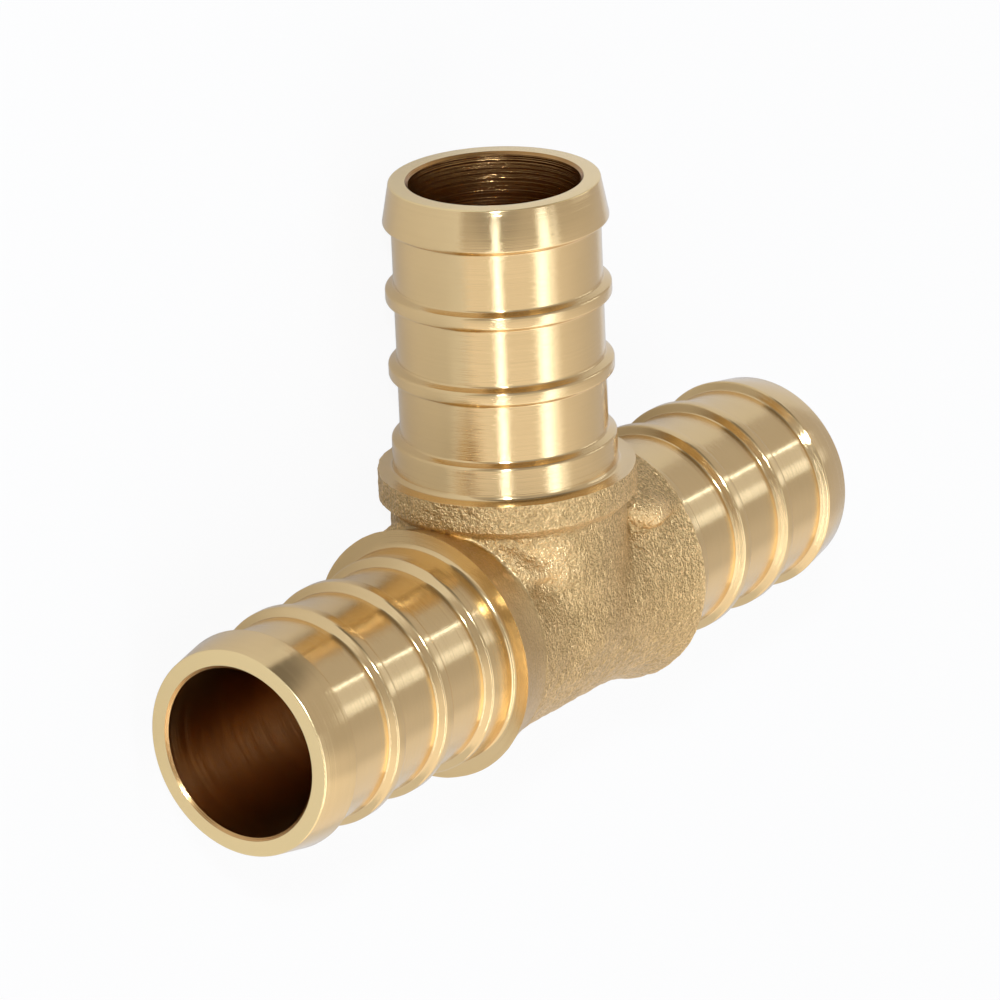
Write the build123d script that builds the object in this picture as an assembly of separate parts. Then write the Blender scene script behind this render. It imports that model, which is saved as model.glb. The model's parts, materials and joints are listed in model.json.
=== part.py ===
from build123d import *
import os

# Equal tee of brass for crimped tube: one forged and turned piece. It lies on its three collars, with
# the run along X, the branch along +Y and the forged faces up and down. The origin is where the axes cross.
# All sizes are in millimetres.

# Waterway: the run is drilled through, and a slightly smaller drill from the branch meets it
bore_diameter = 9.18
branch_drill_step = 0.1
bore_chamfer = 0.15

# Barbed insert, turned the same at all three ends, from its end face inwards
insert_wall = 0.93
barb_height = 0.45
nose_length = 2.2
nose_taper = 0.4
nose_lip = 0.12
nose_back = 0.25
plain_length = 3.1
barb_flank = 0.2
barb_crest = 0.65
seat_crest = 1.5
seat_fillet = 0.25

# Forged body: the barrels reach from the crossing to the machined shoulders
shoulder_reach = 8.2
shoulder_height = 0.88
body_wall = 1.36
run_flare = 5.0
neck_step = 0.3
branch_collar_land = 1.4
branch_collar_flare = 0.7
gusset_height = 0.66
gusset_spread = 108
gusset_cut = 2.6
gusset_rounding = 0.35

bore_radius = bore_diameter / 2
branch_bore_radius = bore_radius - branch_drill_step / 2
root_radius = bore_radius + insert_wall
barb_radius = root_radius + barb_height
collar_radius = barb_radius + shoulder_height
waist_radius = bore_radius + body_wall
neck_radius = waist_radius + neck_step
gusset_radius = waist_radius + gusset_height
barb_width = barb_crest + 2 * barb_flank
insert_length = (
    nose_length + nose_back + 3 * plain_length + 2 * barb_width
    + barb_flank + seat_crest + seat_fillet
)
centre_to_end = shoulder_reach + insert_length


def section(*pieces):
    """Outline in the XZ plane: lines and arcs drawn as radius and height."""
    return Plane.XZ * Curve(children=list(pieces))


def turned(outline):
    """Solid of revolution of a closed outline about Z."""
    return revolve(make_face(outline), axis=Axis.Z)


def insert():
    """Insert on +Z, solid: nose cone, two barbs, and the seat that ends at the shoulder."""
    face_radius = barb_radius - nose_taper
    lip_start = (face_radius - nose_lip, centre_to_end)
    lip_end = (face_radius + nose_lip * nose_taper / nose_length, centre_to_end - nose_lip)
    z = centre_to_end - nose_length - nose_back
    points = [lip_end, (barb_radius, z + nose_back), (root_radius, z)]
    for _ in range(2):
        z -= plain_length
        points += [(root_radius, z), (barb_radius, z - barb_flank)]
        z -= barb_width
        points += [(barb_radius, z + barb_flank), (root_radius, z)]
    z -= plain_length
    seat_end = (barb_radius, shoulder_reach + seat_fillet)
    points += [(root_radius, z), (barb_radius, z - barb_flank), seat_end]
    shoulder = (barb_radius + seat_fillet, shoulder_reach)
    return turned(section(
        TangentArc(lip_start, lip_end, tangent=(1, 0)),
        Polyline(*points),
        TangentArc(seat_end, shoulder, tangent=(0, -1)),
        Polyline(shoulder, (0, shoulder_reach), (0, centre_to_end), lip_start),
    ))


def run_barrel():
    """The run's barrel along Z: one waist that flares out in an arc to the collar's rim at each end."""
    waist_end = shoulder_reach - run_flare
    rim = (collar_radius, shoulder_reach)
    side = section(TangentArc((waist_radius, waist_end), rim, tangent=(0, 1)))
    rest = section(
        Line((waist_radius, waist_end), (waist_radius, -waist_end)),
        Polyline(rim, (0, shoulder_reach), (0, -shoulder_reach), (collar_radius, -shoulder_reach)),
    )
    return turned(side + mirror(side, about=Plane.XY) + rest)


def branch_barrel():
    """The branch's barrel on +Z: a deep collar, and two equal arcs down to a neck that runs into the waist."""
    land_end = shoulder_reach - branch_collar_land
    neck_end = land_end - branch_collar_flare
    middle = ((collar_radius + neck_radius) / 2, (land_end + neck_end) / 2)
    crown = TangentArc((collar_radius, land_end), middle, tangent=(0, -1))
    return turned(section(
        crown,
        TangentArc(middle, (neck_radius, neck_end), tangent=crown % 1),
        Polyline(
            (neck_radius, neck_end), (neck_radius, 0), (0, 0), (0, shoulder_reach),
            (collar_radius, shoulder_reach), (collar_radius, land_end),
        ),
    ))


def gusset():
    """Web along Z round the branch's side of the run, with rounded edges: it fills both crotches.
    At the lower end it stops short of the collar, which the shoulder's tool turns clean."""
    cut_end = gusset_cut - shoulder_reach
    corners = [
        (0, cut_end), (gusset_radius, cut_end),
        (gusset_radius, shoulder_reach), (0, shoulder_reach),
    ]
    web = revolve(make_face(section(Polyline(*corners, close=True))), axis=Axis.Z, revolution_arc=gusset_spread)
    ledges = web.edges().filter_by(Axis.Z).sort_by_distance((0, 0, 0))[1:]
    cut_edge = web.edges().filter_by(GeomType.CIRCLE).sort_by(Axis.Z)[0]
    return Rot(0, 0, 90 - gusset_spread / 2) * fillet([*ledges, cut_edge], gusset_rounding)


def run_drill():
    """Drill through the run along Z, with a chamfer at each mouth."""
    mouth = centre_to_end - bore_chamfer
    chamfer_radius = bore_radius + bore_chamfer
    return turned(section(Polyline(
        (0, -centre_to_end), (chamfer_radius, -centre_to_end), (bore_radius, -mouth),
        (bore_radius, mouth), (chamfer_radius, centre_to_end), (0, centre_to_end), close=True,
    )))


def branch_drill():
    """Drill on +Z from the run's axis to the end face, with a chamfer at its mouth."""
    mouth = centre_to_end - bore_chamfer
    return turned(section(Polyline(
        (0, 0), (branch_bore_radius, 0), (branch_bore_radius, mouth),
        (branch_bore_radius + bore_chamfer, centre_to_end), (0, centre_to_end), close=True,
    )))


along_run = Rot(0, 90, 0)
back_along_run = Rot(0, -90, 0)
along_branch = Rot(-90, 0, 0)

forging = along_run * (run_barrel() + gusset()) + along_branch * branch_barrel()
blank = forging + [way * insert() for way in (along_run, back_along_run, along_branch)]
tee = blank - along_run * run_drill() - along_branch * branch_drill()

tee.label = "tee_body"
os.makedirs("parts", exist_ok=True)
export_step(tee, "parts/tee_body.step")
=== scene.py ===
import json
import math

import bmesh
import bpy
import numpy as np
from mathutils import Matrix, Vector, noise


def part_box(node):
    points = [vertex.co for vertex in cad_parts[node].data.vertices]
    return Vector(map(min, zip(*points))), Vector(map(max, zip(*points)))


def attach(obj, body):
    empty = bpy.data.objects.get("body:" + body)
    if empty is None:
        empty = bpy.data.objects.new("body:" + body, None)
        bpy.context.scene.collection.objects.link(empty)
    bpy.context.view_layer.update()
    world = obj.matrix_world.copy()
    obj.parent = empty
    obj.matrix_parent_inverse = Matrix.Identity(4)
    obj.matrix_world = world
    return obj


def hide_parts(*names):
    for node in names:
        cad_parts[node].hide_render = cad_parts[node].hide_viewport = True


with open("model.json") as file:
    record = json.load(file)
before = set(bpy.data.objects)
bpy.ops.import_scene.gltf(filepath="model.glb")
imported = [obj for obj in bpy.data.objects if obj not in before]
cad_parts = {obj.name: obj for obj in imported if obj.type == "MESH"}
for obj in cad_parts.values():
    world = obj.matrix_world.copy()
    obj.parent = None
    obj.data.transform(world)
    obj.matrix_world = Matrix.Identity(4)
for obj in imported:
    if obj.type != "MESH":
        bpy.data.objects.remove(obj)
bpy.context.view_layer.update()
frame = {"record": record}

# Forged blank. A hot slug of brass is pressed between two dies into a waisted run, a branch with a deep
# collar, and a web that fills both crotches. The skin keeps the dies' blasted grain, but for a band behind
# the near shoulder, which the shoulder's tool has cleaned.
MM = 0.001
low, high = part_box("tee_body")
mount = {row["name"]: row for row in frame["record"]["mounts"]}
collar_radius = -low.z / MM
bore_radius = mount["run_bore"]["dims"]["r_mm"]
shoulder_reach = 8.2

body_wall = 1.36
waist_radius = bore_radius + body_wall
flare_start = 3.2
flare_rise = collar_radius - waist_radius
flare_arc = ((shoulder_reach - flare_start) ** 2 + flare_rise ** 2) / (2 * flare_rise)
neck_step = 0.3
neck_radius = waist_radius + neck_step
branch_land = 6.8
branch_neck = 6.1
branch_fade = 0.2
die_shift = Vector((0.0, 0.09, 0.07))

web_height = 0.66
web_half_spread = math.radians(54)
web_fillet = 0.3
crotch_fillet = 0.3
pillow_height = 0.15
pillow_radius = waist_radius + web_height + pillow_height
pillow_end = 5.75
pillow_corner = 1.8
pillow_edge = 0.65
pillow_crest = Vector((-3.3, 4.6, 5.0))
ear_radius = 6.95
ear_start = 4.4
ear_corner = 1.5
ear_edge = 0.5
knob = Vector((6.0, 4.4, 5.4))
knob_height = 0.4
knob_spread = 0.75

cleaned_start = 5.5
cleaned_radius = 5.2
cleaned_taper = 0.22
cleaned_grain = 0.2
skin_layers = ((0.35, (0, 0, 0), 0.035), (1.2, (7, 3, 5), 0.05), (3.0, (1, 9, 2), 0.045))
skin_cell = 0.14 * MM
slug_radius = 6.3
slug_reach = shoulder_reach + 0.6
slug_segments = 96


def melt(a, b, radius):
    """Lesser of two distances, with the corner between them filled to a soft radius."""
    blend = np.clip(radius - np.abs(a - b), 0, None) / radius
    return np.minimum(a, b) - blend ** 2 * radius / 4


def die_distance(points):
    """Distance in millimetres from points to the dies' impression, negative inside."""
    x, y, z = (points - np.array(die_shift)).T
    along = np.clip(np.abs(points[:, 0]) - flare_start, 0, None)
    run = np.hypot(y, z) - (waist_radius + flare_arc - np.sqrt(flare_arc ** 2 - along ** 2))
    step = np.clip((points[:, 1] - branch_neck) / (branch_land - branch_neck), 0, 1)
    branch = np.hypot(x, z) - (neck_radius + (collar_radius - neck_radius) * step * step * (3 - 2 * step))
    branch += np.clip(-y, 0, None) ** 2 * branch_fade
    ledge = (np.abs(np.arctan2(z, y)) - web_half_spread) * np.hypot(y, z)
    pillow = -melt(pillow_radius - np.hypot(y, z), melt(-ledge, pillow_end + x, pillow_corner), pillow_edge)
    ear = -melt(ear_radius - np.hypot(y, z), melt(-ledge, x - ear_start, ear_corner), ear_edge)
    web = np.minimum(np.maximum(pillow, x), ear)
    return melt(melt(run, web, web_fillet), branch, crotch_fillet)


def skin_height(point):
    """Height of the skin over the dies' form: slow waves, dents and fine grain, and the knob on the ear."""
    skin = sum(noise.noise(point * scale + Vector(shift)) * height for scale, shift, height in skin_layers)
    lump = knob_height * math.exp(-(point - knob).length_squared / (2 * knob_spread ** 2))
    cleaned = point.x < -cleaned_start and point.yz.length < cleaned_radius - cleaned_taper * point.x
    return lump + skin * (cleaned_grain if cleaned else 1)


def spun(name, outline, segments):
    """Mesh turned about Z from an outline of radius and height in millimetres, closed on the axis."""
    mesh = bmesh.new()
    turns = [2 * math.pi * i / segments for i in range(segments)]
    rings = []
    for radius, height in outline:
        spots = [(radius * math.cos(turn) * MM, radius * math.sin(turn) * MM, height * MM) for turn in turns]
        rings.append([mesh.verts.new(spot) for spot in (spots if radius else [(0, 0, height * MM)])])
    for lower, upper in zip(rings, rings[1:]):
        for i in range(segments):
            j = (i + 1) % segments
            corners = [lower[i % len(lower)], lower[j % len(lower)]]
            corners += [upper[j % len(upper)], upper[i % len(upper)]]
            mesh.faces.new(list(dict.fromkeys(corners)))
    bmesh.ops.recalc_face_normals(mesh, faces=mesh.faces)
    data = bpy.data.meshes.new(name)
    mesh.to_mesh(data)
    mesh.free()
    piece = bpy.data.objects.new(name, data)
    bpy.context.scene.collection.objects.link(piece)
    return piece


def settle(piece):
    """Applies a piece's modifiers to its mesh."""
    graph = bpy.context.evaluated_depsgraph_get()
    data = bpy.data.meshes.new_from_object(piece.evaluated_get(graph))
    piece.modifiers.clear()
    old = piece.data
    piece.data = data
    bpy.data.meshes.remove(old)


along_run = Matrix.Rotation(math.radians(90), 4, "Y")
back_along_run = Matrix.Rotation(math.radians(-90), 4, "Y")
along_branch = Matrix.Rotation(math.radians(-90), 4, "X")

# The slug is two crossed bars under one even skin. Each point of the skin then moves to the dies' form,
# and out or in along the form's slope by the height of the grain.
slug_end = [(slug_radius, slug_reach), (0, slug_reach)]
blank = spun("forged_blank", [(0, -slug_reach), (slug_radius, -slug_reach), *slug_end], slug_segments)
blank.data.transform(along_run)
stub = spun("branch_blank", [(0, 0), (slug_radius, 0), *slug_end], slug_segments)
stub.data.transform(along_branch)
both = bmesh.new()
for data in (blank.data, stub.data):
    both.from_mesh(data)
both.to_mesh(blank.data)
both.free()
bpy.data.objects.remove(stub)
skin = blank.modifiers.new("skin", "REMESH")
skin.mode = "VOXEL"
skin.voxel_size = skin_cell
settle(blank)

near_dies = 1
strokes = 6
longest_move = 0.4
least_steepness = 0.3
feeler = 0.01
spots = np.zeros(len(blank.data.vertices) * 3)
blank.data.vertices.foreach_get("co", spots)
spots = spots.reshape(-1, 3) / MM
pressed = np.abs(die_distance(spots)) < near_dies
for _ in range(strokes):
    gap = die_distance(spots) * pressed
    slope = np.stack([
        (die_distance(spots + step) - die_distance(spots - step)) / (2 * feeler)
        for step in np.eye(3) * feeler
    ], axis=1)
    steepness = np.maximum((slope ** 2).sum(1), least_steepness)
    spots -= np.clip(gap, -longest_move, longest_move)[:, None] * slope / steepness[:, None]
slope /= np.linalg.norm(slope, axis=1)[:, None]
grain = np.array([skin_height(Vector(spot)) for spot in spots])
spots += slope * grain[:, None]
blank.data.vertices.foreach_set("co", (spots * MM).ravel())

# The three ends are faced off square at the shoulders. The new faces get the turned brass of the second slot.
trimmed = bmesh.new()
trimmed.from_mesh(blank.data)
for side in (Vector((1, 0, 0)), Vector((-1, 0, 0)), Vector((0, 1, 0))):
    everything = trimmed.verts[:] + trimmed.edges[:] + trimmed.faces[:]
    bmesh.ops.bisect_plane(
        trimmed, geom=everything, plane_co=side * shoulder_reach * MM, plane_no=side, clear_outer=True,
    )
    rim = [edge for edge in trimmed.edges if edge.is_boundary]
    shoulder = bmesh.ops.contextual_create(trimmed, geom=rim)["faces"]
    bmesh.ops.triangulate(trimmed, faces=shoulder)
    for facet in trimmed.faces:
        if abs(facet.calc_center_median().dot(side) - shoulder_reach * MM) < 1e-7:
            facet.material_index = 1
bmesh.ops.recalc_face_normals(trimmed, faces=trimmed.faces)
trimmed.to_mesh(blank.data)
trimmed.free()


class Wire:
    """Output of a shader node, for maths written as an expression."""

    def __init__(self, tree, socket):
        self.tree = tree
        self.socket = socket

    def maths(self, operation, other=None, swap=False):
        node = self.tree.nodes.new("ShaderNodeMath")
        node.operation = operation
        values = [self] if other is None else [self, other]
        for slot, value in zip(node.inputs, reversed(values) if swap else values):
            if isinstance(value, Wire):
                self.tree.links.new(value.socket, slot)
            else:
                slot.default_value = value
        return Wire(self.tree, node.outputs[0])

    def __add__(self, other):
        return self.maths("ADD", other)

    def __sub__(self, other):
        return self.maths("SUBTRACT", other)

    def __rsub__(self, other):
        return self.maths("SUBTRACT", other, swap=True)

    def __mul__(self, other):
        return self.maths("MULTIPLY", other)

    def __pow__(self, other):
        return self.maths("POWER", other)

    def __gt__(self, other):
        return self.maths("GREATER_THAN", other)

    __radd__ = __add__
    __rmul__ = __mul__


class Finish:
    """Nodes of one material, or of the light tent, all made by one method."""

    def __init__(self, owner):
        self.owner = owner
        owner.use_nodes = True
        self.tree = owner.node_tree
        self.tree.nodes.clear()

    def node(self, kind, settings=None, output=0, **sockets):
        """Adds a node: settings first, then sockets, by name with _ for a space, or by number as _1."""
        node = self.tree.nodes.new(kind)
        for key, value in (settings or {}).items():
            setattr(node, key, value)
        slots = {f"_{i}": slot for i, slot in enumerate(node.inputs)}
        for slot in reversed(node.inputs):
            if slot.enabled:
                slots[slot.name.replace(" ", "_")] = slot
        for key, value in sockets.items():
            if isinstance(value, Wire):
                self.tree.links.new(value.socket, slots[key])
            else:
                slots[key].default_value = value
        return Wire(self.tree, node.outputs[output]) if node.outputs else None


def place_in_mm(finish):
    """Position on the piece in millimetres, as a vector and as its three numbers."""
    spot = finish.node("ShaderNodeTexCoord", output="Object")
    spot = finish.node("ShaderNodeVectorMath", {"operation": "SCALE"}, Vector=spot, Scale=1 / MM)
    parts = [finish.node("ShaderNodeSeparateXYZ", output=i, Vector=spot) for i in range(3)]
    return spot, parts


def share(finish, value, none, full, curve="LINEAR"):
    """Share that grows from 0 at one value to 1 at another."""
    return finish.node(
        "ShaderNodeMapRange", {"interpolation_type": curve}, Value=value, From_Min=none, From_Max=full,
    )


def two_tone(finish, part, first, second):
    """Colour that goes from a first to a second one by a share."""
    return finish.node("ShaderNodeMix", {"data_type": "RGBA"}, output=2, Factor=part, A=first, B=second)


# Forged finish. The grit of the blasted dies is speckled paler and shines. Painted shade darkens dents and
# creases, painted highlights lighten the crests and the web's pillow and its knob, and a dark line paints the
# shade in the fine groove that the shoulder's tool left where it stopped.
forged = Finish(bpy.data.materials.new("forged_brass_skin"))
spot, (x, y, z) = place_in_mm(forged)
behind_shoulder = (cleaned_radius - x * cleaned_taper) > (y * y + z * z) ** 0.5
cleaned = share(forged, x, 0.12 - cleaned_start, -0.05 - cleaned_start) * behind_shoulder
# Painted shade: a dark line where the shoulder's tool stopped, standing in for the shade in its fine groove.
groove_painted_shade = share(forged, (x + cleaned_start).maths("ABSOLUTE"), 0.11, 0.02) * behind_shoulder
cloud = forged.node("ShaderNodeTexNoise", Vector=spot, Scale=0.7, Detail=4.0)
crumbs = forged.node("ShaderNodeTexNoise", Vector=spot, Scale=7.5, Detail=2.0, Roughness=0.6)
grit = share(forged, crumbs, 0.40, 0.66)
# Painted shade and highlight: the mesh's pointiness darkens the dents and creases and lightens the crests.
shape = forged.node("ShaderNodeNewGeometry", output="Pointiness")
crest_highlight_crease_shade = share(forged, shape, 0.43, 0.57)
# Painted highlights: the colour is lighter round the crest of the web's pillow and round the knob, which are
# also made smoother.
painted_highlight_spots = 0
for crest, spread in ((pillow_crest, 2.0), (knob, 1.3)):
    away = forged.node("ShaderNodeVectorMath", {"operation": "DISTANCE"}, output=1, _0=spot, _1=crest)
    painted_highlight_spots += share(forged, away, spread, 0.3, "SMOOTHSTEP")
# Tone: random cloud and grit and the cleaned band, plus the painted shade and painted highlights.
tone_and_painted_light = cloud * 0.35 + grit * 0.45 * (1 - cleaned * 0.7) + crest_highlight_crease_shade * 0.5 + cleaned * 0.08 - 0.12
tone_and_painted_light += painted_highlight_spots * 0.4
tone = two_tone(forged, tone_and_painted_light, (0.30, 0.195, 0.07, 1), (0.98, 0.685, 0.325, 1))
tone = two_tone(forged, groove_painted_shade * 0.25, tone, (0.12, 0.07, 0.02, 1))
drawn = forged.node("ShaderNodeVectorMath", {"operation": "MULTIPLY"}, _0=spot, _1=(1.0, 0.6, 1.0))
pits = forged.node("ShaderNodeTexNoise", Vector=drawn, Scale=4.0, Detail=2.0, Roughness=0.6)
blasted = (pits + grit * 0.25) * (1 - cleaned * 0.75)
bump = forged.node("ShaderNodeBump", Strength=1.0, Distance=0.00016, Height=blasted)
brass = forged.node(
    "ShaderNodeBsdfPrincipled", Base_Color=tone, Metallic=1.0, Normal=bump,
    Roughness=0.42 - grit * 0.12 - painted_highlight_spots * 0.1,
)
forged.node("ShaderNodeOutputMaterial", Surface=brass)

# Barbed inserts. Each end is turned in one chucking: a nose cone, two barbs, a seat, and a fillet into the
# shoulder. Every corner is left as the tool's small nose leaves it, and the brass is bright from the cut.
end_reach = high.x / MM
barb_radius = mount["insert_branch"]["dims"]["r_mm"]
insert_wall = 0.93
root_radius = bore_radius + insert_wall
nose_taper = 0.4
nose_length = 2.2
nose_back = 0.25
plain_length = 3.1
barb_flank = 0.2
barb_width = 1.05
seat_fillet = 0.25
lip_corner = 0.12
nose_corner = 0.14
root_corner = 0.12
crest_corner = 0.16
sink = 0.004
foot = shoulder_reach - 0.5
turned_segments = 160


def tool_path(corners, steps=4):
    """Outline through corners of radius, height and corner radius, with each corner as an arc."""
    path = []
    for i, (radius, height, nose) in enumerate(corners):
        here = Vector((radius, height))
        if not nose:
            path.append(tuple(here))
            continue
        back = (Vector(corners[i - 1][:2]) - here).normalized()
        ahead = (Vector(corners[i + 1][:2]) - here).normalized()
        half = back.angle(ahead) / 2
        reach = nose / math.tan(half)
        middle = here + (back + ahead).normalized() * nose / math.sin(half)
        start = here + back * reach - middle
        end = here + ahead * reach - middle
        for j in range(steps + 1):
            path.append(tuple(middle + start.slerp(end, j / steps) * nose))
    return path


height = end_reach - nose_length - nose_back
corners = [
    (0, end_reach, 0), (barb_radius - nose_taper, end_reach, lip_corner),
    (barb_radius, end_reach - nose_length, nose_corner), (root_radius, height, root_corner),
]
for _ in range(2):
    height -= plain_length
    corners += [(root_radius, height, root_corner), (barb_radius, height - barb_flank, crest_corner)]
    height -= barb_width
    corners += [(barb_radius, height + barb_flank, crest_corner), (root_radius, height, root_corner)]
height -= plain_length
corners += [
    (root_radius, height, root_corner), (barb_radius, height - barb_flank, crest_corner),
    (barb_radius, shoulder_reach - sink, seat_fillet),
    (barb_radius + seat_fillet + sink, shoulder_reach - sink, 0),
    (barb_radius, foot, 0), (0, foot, 0),
]
inserts = []
ends = (("insert_far", along_run), ("insert_near", back_along_run), ("insert_branch", along_branch))
for name, way in ends:
    piece = spun(name, tool_path(corners), turned_segments)
    piece.data.transform(way)
    piece.data.polygons.foreach_set("material_index", [1] * len(piece.data.polygons))
    inserts.append(piece)


def tool_lines(finish, travel, scale, detail, roughness=0.5):
    """Noise that changes only with the tool's travel, like the lines that a cutting edge leaves."""
    return finish.node(
        "ShaderNodeTexNoise", {"noise_dimensions": "1D"},
        W=travel, Scale=scale, Detail=detail, Roughness=roughness,
    )


# Turned finish. Fine rings follow the tool along each end and across its faces, over a faint stain. The
# end faces are cut last, with a square tool, and are duller; their paler colour is a painted reflection.
turned = Finish(bpy.data.materials.new("turned_brass"))
spot, (x, y, z) = place_in_mm(turned)
axial = x.maths("ABSOLUTE").maths("MAXIMUM", y)
on_branch = y > shoulder_reach - 0.1
across = x * on_branch + y * (1 - on_branch)
travel = axial + (across * across + z * z) ** 0.5
fine = tool_lines(turned, travel, 40.0, 1.0)
rings = tool_lines(turned, travel, 8.0, 3.0, 0.7)
bands = tool_lines(turned, travel, 1.6, 2.0)
stain = turned.node("ShaderNodeTexNoise", Vector=spot, Scale=0.5, Detail=3.0)
faced = axial > end_reach - 0.06
tone = two_tone(turned, stain * 0.5 + rings * 0.5, (0.73, 0.525, 0.25, 1), (0.83, 0.60, 0.30, 1))
# Painted reflection: the end faces are coloured paler.
tone = two_tone(turned, faced * 0.7, tone, (0.97, 0.75, 0.37, 1))
bump = turned.node("ShaderNodeBump", Strength=1.0, Distance=0.0000032, Height=fine + rings)
brass = turned.node(
    "ShaderNodeBsdfPrincipled", Base_Color=tone, Metallic=1.0, Normal=bump,
    Roughness=0.07 + bands * 0.06 + rings * 0.05 + faced * 0.12, Coat_Weight=0.25, Coat_Roughness=0.12,
)
turned.node("ShaderNodeOutputMaterial", Surface=brass)

# Waterway. The run is drilled straight through, and a slightly smaller drill from the branch meets it. Each
# mouth has a small chamfer.
branch_bore_radius = mount["branch_bore"]["dims"]["r_mm"]
chamfer = 0.15
overrun = 1
past_end = end_reach + overrun


def drill(name, radius, start, way):
    """Cutter from a start height on its axis out past the end face, with the mouth's chamfer."""
    mouth = radius + chamfer + overrun
    outline = [(0, start), (radius, start), (radius, end_reach - chamfer)]
    outline += [(mouth, past_end), (0, past_end)]
    if start < 0:
        outline[1:2] = [(mouth, -past_end), (radius, chamfer - end_reach)]
    cutter = spun(name, outline, turned_segments)
    cutter.data.transform(way)
    cutter.data.polygons.foreach_set("material_index", [2] * len(cutter.data.polygons))
    return cutter


run_drill = drill("run_drill", bore_radius, -past_end, along_run)
branch_drill = drill("branch_drill", branch_bore_radius, 0, along_branch)

# Drilled finish. The drill's spiral leaves coarser rings than the lathe. The bores are coloured dark brown in
# patches, and darker down the branch.
drilled = Finish(bpy.data.materials.new("drilled_brass"))
spot, (x, y, z) = place_in_mm(drilled)
on_branch = y > bore_radius
swirl = tool_lines(drilled, x + (y - x) * on_branch, 12.0, 4.0, 0.6)
bore_patches = drilled.node("ShaderNodeTexNoise", Vector=spot, Scale=0.6, Detail=4.0)
# Dark brown in patches, and darker in the branch's bore.
lighter_share = bore_patches * 0.6 + (1 - on_branch) * 0.4
tone = two_tone(drilled, lighter_share, (0.34, 0.17, 0.055, 1), (0.74, 0.45, 0.18, 1))
bump = drilled.node("ShaderNodeBump", Strength=1.0, Distance=0.000026, Height=swirl)
brass = drilled.node("ShaderNodeBsdfPrincipled", Base_Color=tone, Metallic=1.0, Roughness=0.2, Normal=bump)
drilled.node("ShaderNodeOutputMaterial", Surface=brass)

# Finished tee. The turned ends and the blank are one solid and the drills go through it, so the fitting
# is a single closed piece of brass. It takes the place of the model's one node.
for piece in (blank, run_drill, branch_drill, *inserts):
    for finish in (forged, turned, drilled):
        piece.data.materials.append(finish.owner)
for piece in (*inserts, run_drill, branch_drill):
    cut = blank.modifiers.new(piece.name, "BOOLEAN")
    cut.operation = "UNION" if piece in inserts else "DIFFERENCE"
    cut.solver = "MANIFOLD"
    cut.object = piece
settle(blank)
for piece in (run_drill, branch_drill, *inserts):
    bpy.data.objects.remove(piece)
blank.name = "brass_tee"
smallest_edge = 0.001 * MM
clean = bmesh.new()
clean.from_mesh(blank.data)
bmesh.ops.dissolve_degenerate(clean, edges=clean.edges, dist=smallest_edge)
bmesh.ops.triangulate(clean, faces=[face for face in clean.faces if len(face.verts) > 4])
clean.to_mesh(blank.data)
clean.free()
blank.data.set_sharp_from_angle(angle=math.radians(34))
blank.data.polygons.foreach_set("use_smooth", [True] * len(blank.data.polygons))
even = blank.modifiers.new("flat_faces", "WEIGHTED_NORMAL")
even.keep_sharp = True
settle(blank)
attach(blank, "root")
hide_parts("tee_body")

# Floor. The tee lies on its three collars on a sheet of white paper that runs out of view. Mirrored in the
# brass the paper is as bright as its light makes it. Seen by itself it is white and keeps the tee's shadow.
floor_half = 0.9
sheet = bpy.data.meshes.new("floor")
corners = [(-floor_half, -floor_half), (floor_half, -floor_half)]
corners += [(floor_half, floor_half), (-floor_half, floor_half)]
sheet.from_pydata([(x, y, low.z) for x, y in corners], [], [(0, 1, 2, 3)])
floor = bpy.data.objects.new("floor", sheet)
bpy.context.scene.collection.objects.link(floor)
paper = Finish(bpy.data.materials.new("white_paper"))
matt = paper.node("ShaderNodeBsdfDiffuse", Color=(0.66, 0.65, 0.63, 1))
glow = paper.node("ShaderNodeEmission", Color=(1, 1, 1, 1), Strength=1.0)
seen = paper.node("ShaderNodeLightPath", output="Is Camera Ray")
in_brass = paper.node("ShaderNodeLightPath", output="Is Glossy Ray")
white = paper.node("ShaderNodeMixShader", Fac=seen * 0.93 + in_brass * 0.15, _1=matt, _2=glow)
paper.node("ShaderNodeOutputMaterial", Surface=white)
floor.data.materials.append(paper.owner)

# Camera. A long lens looks down on the tee past its near end, with the branch nearly upright in the picture.
eye = Vector((-302.31, 143.75, 222.77)) * MM
aim = Vector((1.35, 5.37, -1.477)) * MM
roll = math.radians(-2.37)
lens = bpy.data.cameras.new("camera")
lens.lens = 271.5
lens.sensor_width = 36
lens.clip_start = 0.01
camera = bpy.data.objects.new("camera", lens)
bpy.context.scene.collection.objects.link(camera)


def facing(back, up):
    """Turn whose Z points back along a direction and whose Y leans towards another."""
    side = Vector(up).cross(back).normalized()
    return Matrix((side, back.cross(side), back)).transposed().to_4x4()


view = (eye - aim).normalized()
camera.matrix_world = Matrix.Translation(eye) @ facing(view, (0, 1, 0)) @ Matrix.Rotation(roll, 4, "Z")
bpy.context.scene.camera = camera
bpy.context.scene.view_settings.view_transform = "Standard"

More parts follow.
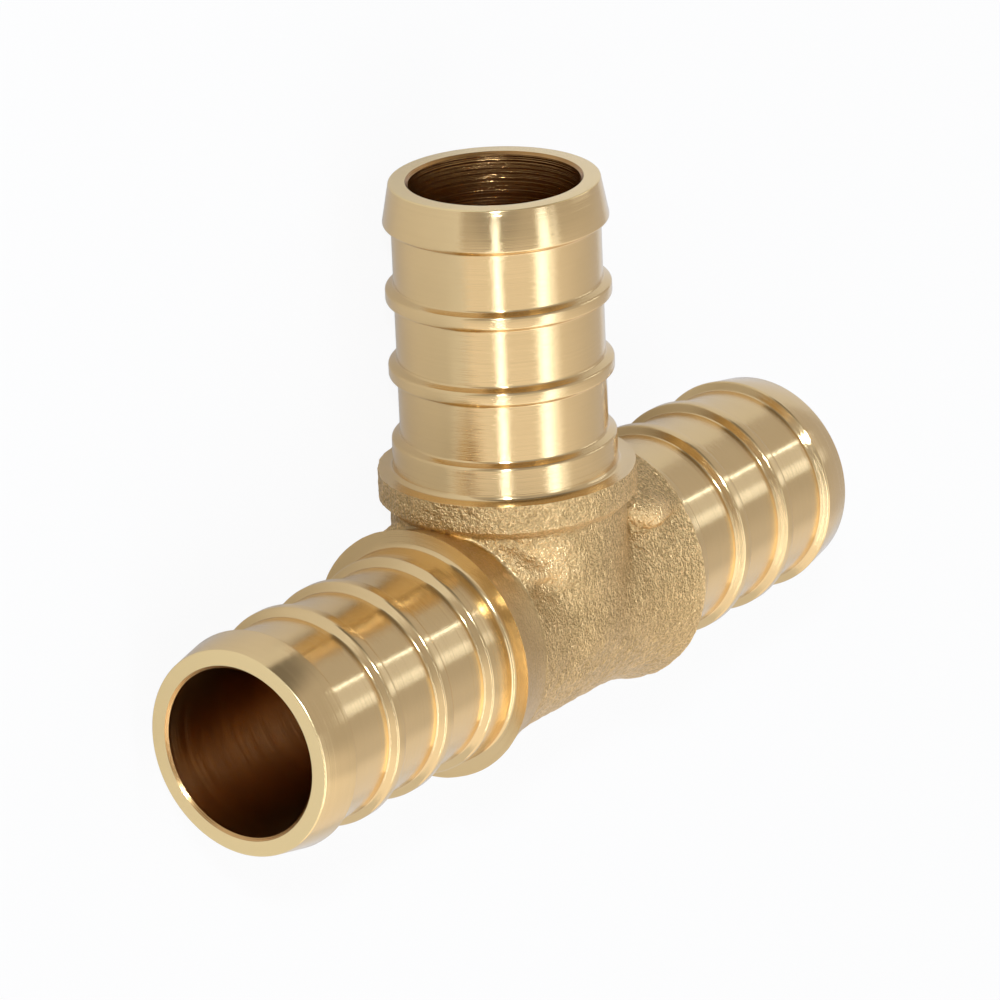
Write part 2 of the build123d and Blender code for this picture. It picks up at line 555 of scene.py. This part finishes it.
# Light. A tent of white cloth stands all round. It is brightest low on the near side, and darker at its head
# and at the port that the lens looks through. Cool lamps stand in it: a small one beside the lens, and
# strips that each draw a line on a turned end.
tent = Finish(bpy.data.worlds.new("tent"))
way = tent.node("ShaderNodeTexCoord", output="Generated")
x, y = [tent.node("ShaderNodeSeparateXYZ", output=i, Vector=way) for i in range(2)]
low_side = share(tent, y, 0.02, -0.32, "SMOOTHSTEP")
deep = share(tent, y, -0.4, -0.55, "SMOOTHSTEP")
far_side = x.maths("MAXIMUM", 0)
head = share(tent, y, 0.7, 0.9, "SMOOTHSTEP")
to_lens = tent.node("ShaderNodeVectorMath", {"operation": "DOT_PRODUCT"}, output=1, _0=way, _1=view)
port = share(tent, to_lens, 0.85, 0.98, "SMOOTHSTEP")
cloth = 0.56 + low_side * (0.42 - far_side * 0.4) + deep * 0.2
cloth = cloth * (1 - port * 0.3) * (1 - head * 0.6)
seen = tent.node("ShaderNodeLightPath", output="Is Camera Ray")
sky = tent.node("ShaderNodeBackground", Color=(1, 0.975, 1, 1), Strength=cloth.maths("MAXIMUM", seen))
tent.node("ShaderNodeOutputWorld", Surface=sky)
bpy.context.scene.world = tent.owner
lamp_distance = 0.7
cool = (0.66, 0.78, 1.0)
branch_way = Vector((0, 1, 0))
run_way = Vector((1, 0, 0))


def mirrored(along, degrees):
    """Direction in which the lens sees a turned end's surface mirror, at an angle round its axis."""
    turn = math.radians(degrees)
    if along.x:
        normal = Vector((0, math.sin(turn), math.cos(turn)))
    else:
        normal = Vector((-math.cos(turn), 0, math.sin(turn)))
    return 2 * normal.dot(view) * normal - view


def lamp(name, back, along, width, length, brightness):
    """Rectangular lamp aimed at the crossing from a direction, with its long side along an axis."""
    light = bpy.data.lights.new(name, "AREA")
    light.shape = "RECTANGLE"
    light.size = width
    light.size_y = length
    light.color = cool
    light.energy = brightness * math.pi * width * length
    holder = bpy.data.objects.new(name, light)
    bpy.context.scene.collection.objects.link(holder)
    holder.matrix_world = Matrix.Translation(back * lamp_distance) @ facing(back, along)


beside_lens = Vector((-0.692, 0.499, 0.522)).normalized()
lamp("lens_lamp", beside_lens, branch_way, 0.05, 0.05, 420.0)
lamp("branch_line", mirrored(branch_way, 36), branch_way, 0.018, 0.9, 13.0)
lamp("branch_box", mirrored(branch_way, 61), branch_way, 0.15, 0.9, 2.2)
lamp("branch_box_edge", mirrored(branch_way, 67), branch_way, 0.09, 0.9, 0.7)
lamp("run_line", mirrored(run_way, 38), run_way, 0.012, 0.2, 6.5)
lamp("run_box", mirrored(run_way, 24.5), run_way, 0.10, 0.35, 0.8)
lamp("run_box_edge", mirrored(run_way, 31.5), run_way, 0.24, 0.35, 0.3)
